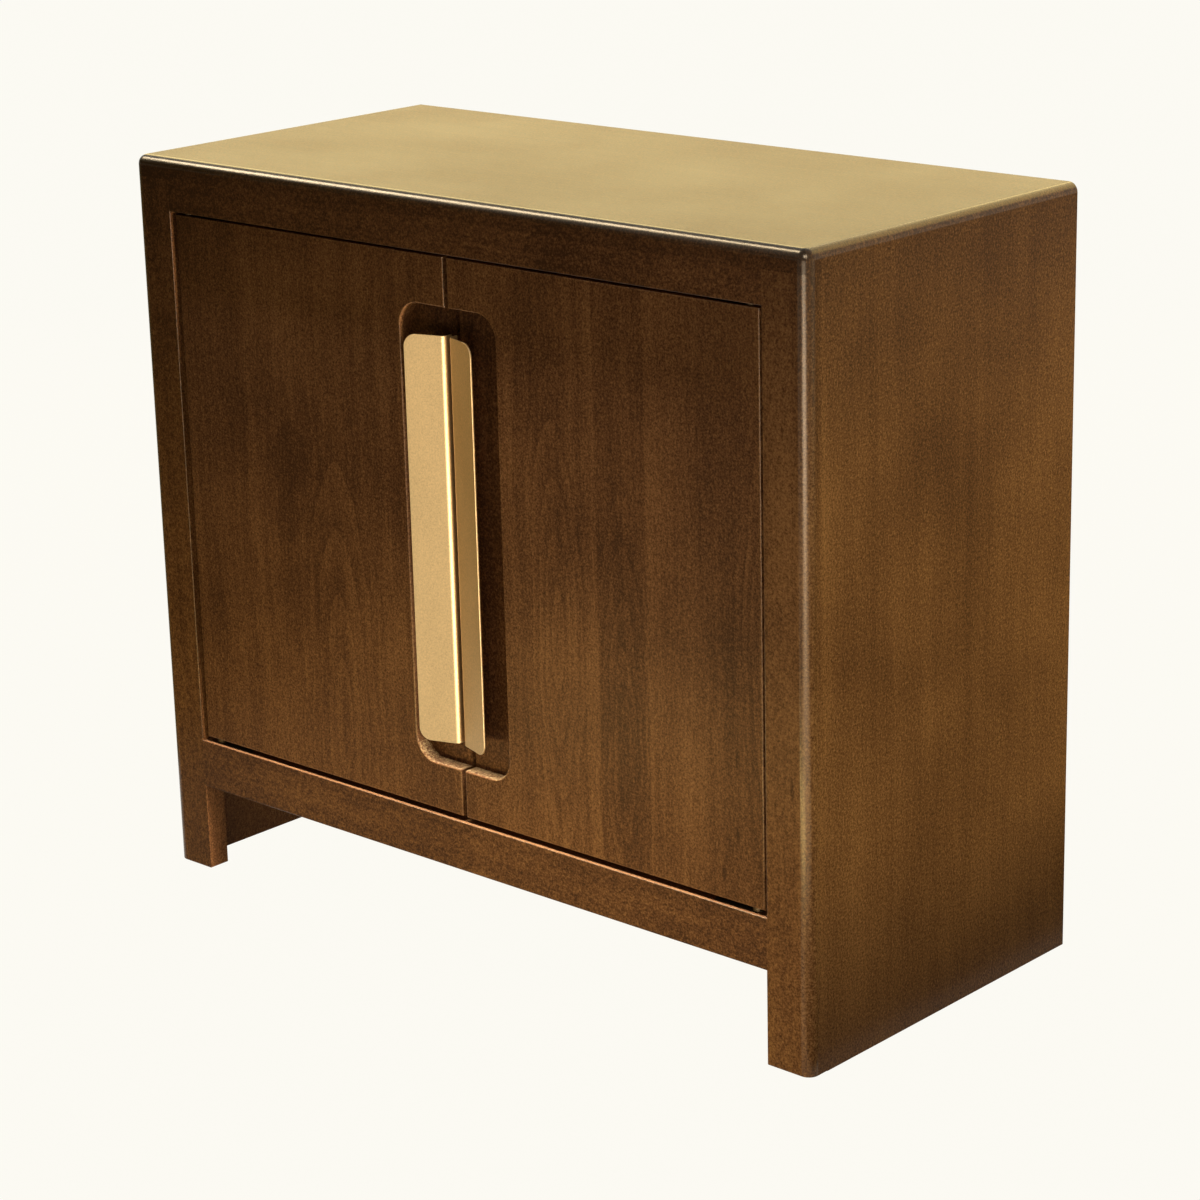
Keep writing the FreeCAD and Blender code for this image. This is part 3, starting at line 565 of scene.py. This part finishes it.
def seat_form(form, low, high, host_high):
    """Adds the seat of a flush plate with round ends, open through the face that it lies in."""
    size = high - low
    thin, wide, long = sorted(range(3), key=lambda axis: size[axis])
    floor, mouth = high[thin], low[thin]
    if abs(high[thin] - host_high[thin]) < FLUSH_LIMIT:
        floor, mouth = mouth, floor
    mouth += math.copysign(SEAT_OVERCUT, mouth - floor)
    turn = Vector((0, 0, 1)).rotation_difference(Vector(along(thin, 0.0, 1.0)))
    ring = []
    for level in (floor, mouth):
        for end in (-1, 1):
            centre = (low + high) / 2
            centre[thin] = level
            centre[long] += end * (size[long] - size[wide]) / 2
            made = bmesh.ops.create_circle(
                form, segments=SEAT_STEPS, radius=size[wide] / 2 + SEAT_PLAY,
                matrix=Matrix.Translation(centre) @ turn.to_matrix().to_4x4())
            ring += made["verts"]
    bmesh.ops.remove_doubles(form, verts=ring, dist=TINY)
    hull = bmesh.ops.convex_hull(form, input=[point for point in ring if point.is_valid])
    loose = points_in(hull["geom_interior"] + hull["geom_unused"])
    bmesh.ops.delete(form, geom=loose, context="VERTS")


def let_in(piece, nodes):
    """Cuts the seats of flush plates into a piece."""
    high = Vector(piece.bound_box[6])
    form = bmesh.new()
    for node in nodes:
        seat_form(form, *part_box(node), high)
    bmesh.ops.recalc_face_normals(form, faces=form.faces)
    cutter = new_object("seat_cutter", form)
    cut = piece.modifiers.new("Seats", "BOOLEAN")
    cut.object = cutter
    cut.solver = "EXACT"
    bpy.context.view_layer.update()
    shaped = piece.evaluated_get(bpy.context.evaluated_depsgraph_get())
    ready = bpy.data.meshes.new_from_object(shaped)
    piece.modifiers.remove(cut)
    piece.data = ready
    bpy.data.objects.remove(cutter)


def dress(piece, node, body):
    """Smooths a piece and lets it stand for its CAD node."""
    piece.data.shade_smooth()
    piece.data.set_sharp_from_angle(angle=SHARP_ANGLE)
    smoothing = piece.modifiers.new("Weighted normals", "WEIGHTED_NORMAL")
    smoothing.keep_sharp = True
    smoothing.weight = 100
    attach(piece, body)
    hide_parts(node)


def refinish(nodes, finish):
    """Gives CAD nodes a finish."""
    for node in nodes:
        for holder in frame["nodes"][node].material_slots:
            holder.material = finish_of(finish)


class CABINET_OT_top(bpy.types.Operator):
    """Top board with rounded front corners and front and side edges"""

    bl_idname = "cabinet.top"
    bl_label = "Top Board"

    def execute(self, context):
        sizes = context.scene.cabinet_sizes
        finishes = ["level_stain", "upright_stain", "level_edge_painted_shade", "rail_stain_and_painted_shade", "upright_edge"]
        low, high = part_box("top_panel")
        form = box_form(low, high)
        for side in (low.x, high.x):
            round_over(form, edges_at(form, x=side, y=low.y), sizes.corner_round, CORNER_STEPS)
        back = edges_at(form, y=high.y)
        rim = [edge for edge in edges_at(form, z=high.z) if edge not in back]
        round_over(form, rim, sizes.edge_round, CORNER_STEPS)
        round_over(form, edges_at(form, y=high.y, z=high.z), BACK_EASE, EASE_STEPS)
        form.normal_update()
        for face in form.faces:
            sideways, endwise = abs(face.normal.x), abs(face.normal.y)
            # The front rounding has painted shade in its tone
            if is_slanted(face) and sideways <= endwise:
                paint(face, finishes, "level_edge_painted_shade")
            elif is_slanted(face) and face.normal.z <= ROUND_START:
                paint(face, finishes, "upright_edge")
            elif sideways > FACING:
                paint(face, finishes, "upright_stain")
            elif endwise > FACING:
                paint(face, finishes, "rail_stain_and_painted_shade")
        board = new_object("top_board", form, finishes)
        dress(board, "top_panel", "case")
        return {"FINISHED"}


class CABINET_OT_front_frame(bpy.types.Operator):
    """Stiles that run down as the front legs, and the rails between them"""

    bl_idname = "cabinet.front_frame"
    bl_label = "Front Frame"

    def execute(self, context):
        sizes = context.scene.cabinet_sizes
        opening_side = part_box("right_front_stile")[0].x
        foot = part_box("front_bottom_rail")[0].z
        rail_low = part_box("front_bottom_rail")[1].z
        rail_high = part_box("front_top_rail")[0].z
        finishes = ["stile_stain", "upright_edge"]
        for side, sign in SIDES.items():
            low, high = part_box(f"{side}_front_stile")
            outer, inner = (high.x, low.x) if sign > 0 else (low.x, high.x)
            form = box_form(low, high)
            round_over(form, edges_at(form, x=outer, y=low.y), sizes.corner_round, CORNER_STEPS)
            round_over(form, edges_at(form, z=low.z), FOOT_EASE, EASE_STEPS)
            for level in (foot, rail_low, rail_high):
                slice_at(form, 2, level)
            opening = edges_at(form, x=inner, y=low.y, z=(rail_low, rail_high))
            round_over(form, opening, sizes.frame_arris, ARRIS_STEPS)
            form.normal_update()
            rub_edges(form, finishes, "upright_edge")
            leg = new_object(f"{side}_stile_leg", form, finishes)
            dress(leg, f"{side}_front_stile", "case")
        finishes = ["rail_stain_and_painted_shade", "level_edge_painted_shade", "ledge_painted_light"]
        for rail, leaves in (("front_top_rail", "upper"), ("front_bottom_rail", "lower")):
            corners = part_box(rail)
            low = Vector((-opening_side, corners[0].y, corners[0].z))
            high = Vector((opening_side, corners[1].y, corners[1].z))
            form = box_form(low, high)
            eased = (high.z, low.z) if rail == "front_bottom_rail" else (low.z,)
            for level in eased:
                arris = edges_at(form, y=low.y, z=level)
                round_over(form, arris, sizes.frame_arris, ARRIS_STEPS)
            form.normal_update()
            rub_edges(form, finishes, "level_edge_painted_shade")
            for face in form.faces:
                # The bottom rail's top face takes the paler finish as painted light
                if rail == "front_bottom_rail" and face.normal.z > FACING:
                    paint(face, finishes, "ledge_painted_light")
            bar = new_object(f"{rail}_bar", form, finishes)
            let_in(bar, [f"{side}_{leaves}_frame_leaf" for side in SIDES])
            dress(bar, rail, "case")
        return {"FINISHED"}


class CABINET_OT_sides(bpy.types.Operator):
    """Side panels, full height"""

    bl_idname = "cabinet.sides"
    bl_label = "Side Panels"

    def execute(self, context):
        refinish([f"{side}_side_panel" for side in SIDES], "upright_stain")
        return {"FINISHED"}


class CABINET_OT_doors(bpy.types.Operator):
    """Two doors, each with half of the handle recess"""

    bl_idname = "cabinet.doors"
    bl_label = "Doors"

    def execute(self, context):
        sizes = context.scene.cabinet_sizes
        finishes = ["door_stain", "door_edge_painted_light", "recess_foot_painted_light", "recess_floor_painted_shade"]
        middle = (HANDLE_LOW.z + HANDLE_HIGH.z) / 2
        bottom, top = middle - sizes.recess_height / 2, middle + sizes.recess_height / 2
        floor = DOOR_LOW.y + sizes.recess_depth

        def in_recess(face):
            point = face.calc_center_median()
            return (abs(point.x) < sizes.recess_half and point.y < floor
                    and bottom - TINY < point.z < top + TINY)

        for side, sign in SIDES.items():
            low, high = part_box(f"{side}_door_panel")
            meeting = low.x if sign > 0 else high.x
            wall = sign * sizes.recess_half
            form = box_form(low, high)
            for axis, value in ((0, wall), (2, bottom), (2, top), (1, floor)):
                slice_at(form, axis, value)
            patch = [face for face in form.faces
                     if in_recess(face) and abs(face.normal.y) > FACING]
            sunk = bmesh.ops.extrude_face_region(form, geom=patch)["geom"]
            bmesh.ops.translate(form, vec=(0, sizes.recess_depth, 0), verts=points_in(sunk))
            open_side = [face for face in form.faces if in_recess(face)
                         and abs(face.calc_center_median().x - meeting) < TINY]
            bmesh.ops.delete(form, geom=patch + open_side, context="FACES")
            bmesh.ops.remove_doubles(form, verts=form.verts, dist=TINY)
            bmesh.ops.dissolve_limit(form, angle_limit=FLAT_ANGLE, verts=form.verts,
                                     edges=form.edges)
            bmesh.ops.recalc_face_normals(form, faces=form.faces)
            for level in (bottom, top):
                corner = edges_at(form, x=wall, y=(low.y, floor), z=level)
                round_over(form, corner, sizes.recess_corner, RECESS_STEPS)
            round_over(form, edges_at(form, y=low.y), sizes.door_arris, DOOR_ARRIS_STEPS)
            form.normal_update()
            rub_edges(form, finishes, "door_edge_painted_light")
            for face in form.faces:
                # The recess foot takes the pale finish as painted light
                if in_recess(face) and face.normal.z > LEANING:
                    paint(face, finishes, "recess_foot_painted_light")
                # The recess floor is darkened as painted shade
                elif abs(face.calc_center_median().y - floor) < TINY:
                    paint(face, finishes, "recess_floor_painted_shade")
                # The doors' side faces in the gaps take the lighter finish as painted light
                elif abs(face.normal.x) > FACING and not in_recess(face):
                    paint(face, finishes, "door_edge_painted_light")
            slab = new_object(f"{side}_door_slab", form, finishes)
            let_in(slab, [f"{side}_upper_door_leaf", f"{side}_lower_door_leaf",
                          f"{side}_strike_plate"])
            dress(slab, f"{side}_door_panel", f"{side}_door")
        return {"FINISHED"}


class CABINET_OT_handles(bpy.types.Operator):
    """Pull plates, each bent from one sheet of brass"""

    bl_idname = "cabinet.handles"
    bl_label = "Pull Plates"

    def execute(self, context):
        sizes = context.scene.cabinet_sizes
        lean = sizes.plate_lean
        fold_round = sizes.bend_round * math.tan((math.pi / 2 - lean) / 2)
        for side, sign in SIDES.items():
            low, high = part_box(f"{side}_handle")
            root = low.x if sign > 0 else high.x
            tip = (high.x if sign > 0 else low.x) - sign * sizes.sheet * math.sin(lean)
            fold = low.y + abs(tip - root) * math.tan(lean)
            section = ((root + sign * sizes.plate_foot, high.y), (root, high.y), (root, fold),
                       (tip, low.y))
            form = bmesh.new()
            line = [form.verts.new((x, y, low.z)) for x, y in section]
            edges = [form.edges.new(pair) for pair in zip(line, line[1:])]
            sheet = bmesh.ops.extrude_edge_only(form, edges=edges)["geom"]
            bmesh.ops.translate(form, vec=(0, 0, high.z - low.z), verts=points_in(sheet))
            round_over(form, edges_at(form, x=root, y=high.y), sizes.bend_round, BEND_STEPS)
            round_over(form, edges_at(form, x=root, y=fold), fold_round, BEND_STEPS)
            corners = [point for point in form.verts if abs(point.co.x - tip) < TINY]
            bmesh.ops.bevel(form, geom=corners, offset=sizes.plate_corner, offset_type="OFFSET",
                            affect="VERTICES", segments=PLATE_CORNER_STEPS, profile=0.5,
                            material=-1)
            foot_low, foot_high = low.z + sizes.foot_trim, high.z - sizes.foot_trim
            for level in (foot_low, foot_high):
                slice_at(form, 2, level)
            ends = [face for face in form.faces
                    if face.calc_center_median().y > high.y - sizes.bend_round
                    and not foot_low <= face.calc_center_median().z <= foot_high]
            bmesh.ops.delete(form, geom=ends, context="FACES")
            bmesh.ops.recalc_face_normals(form, faces=form.faces)
            plate = max(form.faces, key=lambda face: face.calc_area())
            if plate.normal.y > 0:
                bmesh.ops.reverse_faces(form, faces=form.faces)
            pull = new_object(f"{side}_pull_plate", form, ["pull_brass"])
            wall = pull.modifiers.new("Sheet", "SOLIDIFY")
            wall.thickness = sizes.sheet
            wall.offset = -1.0
            wall.use_even_offset = True
            ease = pull.modifiers.new("Eased edges", "BEVEL")
            ease.width = SHEET_EASE
            ease.segments = SHEET_EDGE_STEPS
            ease.limit_method = "ANGLE"
            ease.angle_limit = SHEET_EDGE_ANGLE
            dress(pull, f"{side}_handle", f"{side}_door")
        return {"FINISHED"}


class CABINET_OT_inside(bpy.types.Operator):
    """Floor, back, shelf, rear rails, stop block and dowels"""

    bl_idname = "cabinet.inside"
    bl_label = "Inside"

    def execute(self, context):
        refinish(["floor_panel", "shelf", "rear_top_rail", "rear_bottom_rail", "door_stop_block"],
                 "inside_stain")
        refinish(["back_panel"], "back_stain")
        refinish(["top_dowels"], "dowel_beech")
        return {"FINISHED"}


class CABINET_OT_hardware(bpy.types.Operator):
    """Pivot hinges, screws, magnets, strike plates and shelf pins"""

    bl_idname = "cabinet.hardware"
    bl_label = "Hinges and Fittings"

    def execute(self, context):
        brass = ["upper_pivot_washers", "lower_pivot_washers", "frame_leaf_screws"]
        steel = ["back_panel_screws", "shelf_supports", "catch_magnets"]
        for side in SIDES:
            for level in ("upper", "lower"):
                for part in ("frame_leaf", "door_leaf", "pivot_pin"):
                    brass.append(f"{side}_{level}_{part}")
            brass.append(f"{side}_door_leaf_screws")
            for part in ("handle_screws", "strike_plate", "strike_screw"):
                steel.append(f"{side}_{part}")
        # Hinge hardware in the gaps is darkened as painted shade
        refinish(brass, "leaf_brass_painted_shade")
        refinish(steel, "bright_steel")
        return {"FINISHED"}


# Colours of the light panels
AMBER = (1.0, 0.72, 0.195)
HONEY = (1.0, 0.97, 0.53)
WARM = (1.0, 0.86, 0.62)
PALE = (1.0, 0.90, 0.80)
WHITE = (1.0, 0.97, 0.92)
TAN = (1.0, 0.86, 0.38)

# Panels that give the rounded edges their sheen: place, target, width and height, share of the
# edge light's power, colour
EDGE_PANELS = {
    "top_edge_light": (
        (-1.54, -0.48, 2.34), (0.0, -0.2, 0.79), (0.6, 1.5), 1.2, WARM),
    "side_edge_light": (
        (0.55, 1.6, 1.85), (0.45, 0.0, 0.79), (1.8, 0.7), 0.12, AMBER),
    "upper_corner_light": (
        (1.145, -1.512, 0.361), (0.998, -1.235, 1.310), (0.90, 0.765), 0.26, WHITE),
    "lower_corner_light": (
        (0.805, -0.872, 0.119), (0.658, -0.595, 1.068), (0.90, 0.765), 0.09, WARM),
    "bend_light": (
        (0.857, -0.97, 0.2025), (0.716, -0.704, 1.1555), (0.40, 1.31), 0.21, WHITE),
    "ball_light": (
        (1.9, -1.7, 2.3), (0.44, -0.2, 0.78), (1.2, 1.2), 1.4, WHITE),
}

# Lower and upper corner of each screen
SCREENS = {
    "brown_card": ((-0.76, -1.6, 0.0), (-0.75, -0.1, 0.75)),
    "far_card": ((-1.31, -2.6, 0.75), (-1.30, -0.1, 1.5)),
    "brown_mat": ((0.47, -0.75, 0.001), (2.6, 2.4, 0.002)),
    "floor_flag": ((0.75, -0.19, 0.0), (0.76, 0.8, 0.205)),
}
FELT = (0.26, 0.195, 0.075, 1.0)

# The floor, its own grey, and how much of it looks like lit paper, which leaves the shadow
FLOOR_RADIUS = 16.0
FLOOR_STEPS = 96
FLOOR_GREY = (0.42, 0.40, 0.37, 1.0)
FLOOR_GLOW = 0.97

# Light of the room from all sides
ROOM_LIGHT = (1.0, 0.93, 0.80, 1.0)
ROOM_STRENGTH = 0.02

# The camera's sensor and the directions of its image
SENSOR_WIDTH = 36.0
IMAGE_RIGHT = Vector((0.741000, 0.671089, -0.023636))
IMAGE_UP = Vector((-0.181714, 0.234282, 0.955035))


def left_out(name, pieces):
    """A collection that leaves some pieces out of a light."""
    made = bpy.data.collections.new(name)
    for index, piece in enumerate(pieces):
        made.objects.link(piece)
        made.collection_objects[index].light_linking.link_state = "EXCLUDE"
    return made


def panel_light(name, place, target, size, watts, shade,
                skips=(), passes=(), wash=True, sheen=True):
    """A soft panel that faces a target, and can skip or pass some pieces, its wash or its sheen."""
    light = bpy.data.lights.new(name, "AREA")
    light.shape = "RECTANGLE"
    light.size, light.size_y = size
    light.energy = watts
    light.color = shade
    lamp = bpy.data.objects.new(name, light)
    lamp.location = place
    lamp.rotation_euler = (Vector(target) - Vector(place)).to_track_quat("-Z", "Y").to_euler()
    lamp.visible_camera = False
    lamp.visible_diffuse = wash
    lamp.visible_glossy = sheen
    bpy.context.scene.collection.objects.link(lamp)
    if skips:
        lamp.light_linking.receiver_collection = left_out(f"{name}_skips", skips)
    if passes:
        lamp.light_linking.blocker_collection = left_out(f"{name}_passes", passes)


def empty_tree(owner):
    """The node tree of a material or world, with nothing in it."""
    owner.use_nodes = True
    owner.node_tree.nodes.clear()
    return owner.node_tree


def seen_rays(tree):
    """1 for rays that look at the background directly, in a reflection or through glass."""
    path = wire(tree, "ShaderNodeLightPath", {}).outputs
    mirrored = math_of(tree, "MAXIMUM", path["Is Camera Ray"], path["Is Glossy Ray"])
    return math_of(tree, "MAXIMUM", mirrored, path["Is Transmission Ray"])


def lay_floor(paper):
    """A wide floor that looks like lit paper and keeps the cabinet's shadow."""
    form = bmesh.new()
    bmesh.ops.create_circle(form, cap_ends=True, radius=FLOOR_RADIUS, segments=FLOOR_STEPS)
    floor = new_object("studio_floor", form)
    material = bpy.data.materials.new("pale_paper")
    tree = empty_tree(material)
    flat = wire(tree, "ShaderNodeBsdfDiffuse", {"Color": FLOOR_GREY})
    glow = wire(tree, "ShaderNodeEmission", {"Color": (*paper, 1.0), "Strength": 1.0})
    share = math_of(tree, "MULTIPLY", seen_rays(tree), FLOOR_GLOW)
    mixed = wire(tree, "ShaderNodeMixShader",
                 {0: share, 1: flat.outputs[0], 2: glow.outputs[0]})
    wire(tree, "ShaderNodeOutputMaterial", {"Surface": mixed.outputs[0]})
    floor.data.materials.append(material)
    return floor


def set_screens():
    """Brown screens that only reflections show, and a flag that only shades."""
    felt = bpy.data.materials.new("brown_felt")
    tree = empty_tree(felt)
    glow = wire(tree, "ShaderNodeEmission", {"Color": FELT, "Strength": 1.0})
    wire(tree, "ShaderNodeOutputMaterial", {"Surface": glow.outputs[0]})
    for name, (low, high) in SCREENS.items():
        screen = new_object(name, box_form(Vector(low), Vector(high)))
        screen.data.materials.append(felt)
        screen.visible_camera = False
        screen.visible_diffuse = False
        screen.visible_glossy = name != "floor_flag"
        screen.visible_shadow = name == "floor_flag"


def set_room(paper):
    """A room with dim warm light, which looks like paper where it is seen."""
    world = bpy.data.worlds.new("studio_room")
    tree = empty_tree(world)
    room = wire(tree, "ShaderNodeBackground", {"Color": ROOM_LIGHT, "Strength": ROOM_STRENGTH})
    seen = wire(tree, "ShaderNodeBackground", {"Color": (*paper, 1.0), "Strength": 1.0})
    mixed = wire(tree, "ShaderNodeMixShader",
                 {0: seen_rays(tree), 1: room.outputs[0], 2: seen.outputs[0]})
    wire(tree, "ShaderNodeOutputWorld", {"Surface": mixed.outputs[0]})
    bpy.context.scene.world = world


def set_lights(studio, floor):
    """Broad panels and strips that light the cabinet, and small ones that line its edges."""
    pieces = bpy.data.objects
    plates = (pieces["right_pull_plate"], pieces["left_pull_plate"])
    board, top_rail = pieces["top_board"], pieces["front_top_rail_bar"]
    right_leg, left_leg = pieces["right_stile_leg"], pieces["left_stile_leg"]
    right_side = frame["nodes"]["right_side_panel"]
    upper_front = (board, top_rail, right_leg, left_leg)
    front_wood = (*upper_front, pieces["front_bottom_rail_bar"], pieces["right_door_slab"],
                  pieces["left_door_slab"])
    panel_light("back_panel_light", (-1.75, 1.95, 1.65), (0.0, 0.0, 0.79), (2.6, 1.4),
                studio.back_light, AMBER)
    panel_light("side_panel_light", (1.75, 0.55, 0.64), (0.45, 0.0, 0.40), (0.9, 0.8),
                studio.side_light, HONEY, skips=(floor,), sheen=False)
    panel_light("low_panel_light", (0.98, -1.27, 0.22), (0.45, -0.2, 0.40), (0.5, 0.42),
                studio.low_light, PALE)
    panel_light("strip_panel_light", (0.05, -0.72, 0.05), (0.05, -0.2, 0.16), (1.1, 0.08),
                studio.strip_light, TAN, skips=(floor, *plates))
    panel_light("overhead_strip_light", (0.0, -0.245, 2.4), (0.0, -0.245, 0.0), (2.2, 0.06),
                studio.overhead_light, WHITE,
                skips=(floor, *plates, right_side, *upper_front), passes=plates)
    panel_light("grazing_strip_light", (2.4, -0.255, 0.6), (0.0, -0.255, 0.45), (0.08, 1.2),
                studio.grazing_light, WARM,
                skips=(floor, board, right_leg, right_side, *plates))
    for name, (place, target, size, share, shade) in EDGE_PANELS.items():
        panel_light(name, place, target, size, share * studio.edge_light, shade,
                    skips=front_wood if name == "bend_light" else plates, wash=False)


def set_camera(studio):
    """The camera at the photograph's viewing angle."""
    lens = bpy.data.cameras.new("photo_camera")
    lens.lens = studio.lens
    lens.sensor_width = SENSOR_WIDTH
    camera = bpy.data.objects.new("photo_camera", lens)
    turn = Matrix((IMAGE_RIGHT, IMAGE_UP, IMAGE_RIGHT.cross(IMAGE_UP))).transposed()
    camera.matrix_world = Matrix.Translation(studio.camera_place) @ turn.to_4x4()
    bpy.context.scene.collection.objects.link(camera)
    bpy.context.scene.camera = camera


class CABINET_OT_stage(bpy.types.Operator):
    """Pale floor, soft light panels and the camera"""

    bl_idname = "cabinet.stage"
    bl_label = "Studio"

    def execute(self, context):
        studio = context.scene.cabinet_studio
        context.scene.view_settings.view_transform = "Standard"
        floor = lay_floor(studio.paper)
        set_screens()
        set_room(studio.paper)
        set_lights(studio, floor)
        set_camera(studio)
        return {"FINISHED"}


OPERATORS = (
    CABINET_OT_top,
    CABINET_OT_front_frame,
    CABINET_OT_sides,
    CABINET_OT_doors,
    CABINET_OT_handles,
    CABINET_OT_inside,
    CABINET_OT_hardware,
    CABINET_OT_stage,
)


class CABINET_PT_sidebar(bpy.types.Panel):
    """Lists the cabinet's sizes, finishes and building steps"""

    bl_idname = "CABINET_PT_sidebar"
    bl_label = "Accent Cabinet"
    bl_space_type = "VIEW_3D"
    bl_region_type = "UI"
    bl_category = "Cabinet"

    def draw(self, context):
        scene = context.scene
        for group in (scene.cabinet_sizes, scene.cabinet_finish, scene.cabinet_studio):
            box = self.layout.box()
            for field in group.__annotations__:
                box.prop(group, field)
        for operator in OPERATORS:
            self.layout.operator(operator.bl_idname)


CLASSES = (CabinetSizes, CabinetFinish, CabinetStudio, *OPERATORS, CABINET_PT_sidebar)


def register():
    """Makes the classes and the settings known to Blender."""
    for kind in CLASSES:
        bpy.utils.register_class(kind)
    bpy.types.Scene.cabinet_sizes = PointerProperty(type=CabinetSizes)
    bpy.types.Scene.cabinet_finish = PointerProperty(type=CabinetFinish)
    bpy.types.Scene.cabinet_studio = PointerProperty(type=CabinetStudio)


def unregister():
    """Takes the settings and the classes away again."""
    del bpy.types.Scene.cabinet_studio
    del bpy.types.Scene.cabinet_finish
    del bpy.types.Scene.cabinet_sizes
    for kind in reversed(CLASSES):
        bpy.utils.unregister_class(kind)


def main():
    """Builds the cabinet and its studio, after making its settings known."""
    register()
    bpy.ops.cabinet.top()
    bpy.ops.cabinet.front_frame()
    bpy.ops.cabinet.sides()
    bpy.ops.cabinet.doors()
    bpy.ops.cabinet.handles()
    bpy.ops.cabinet.inside()
    bpy.ops.cabinet.hardware()
    bpy.ops.cabinet.stage()


if __name__ == "__main__":
    main()
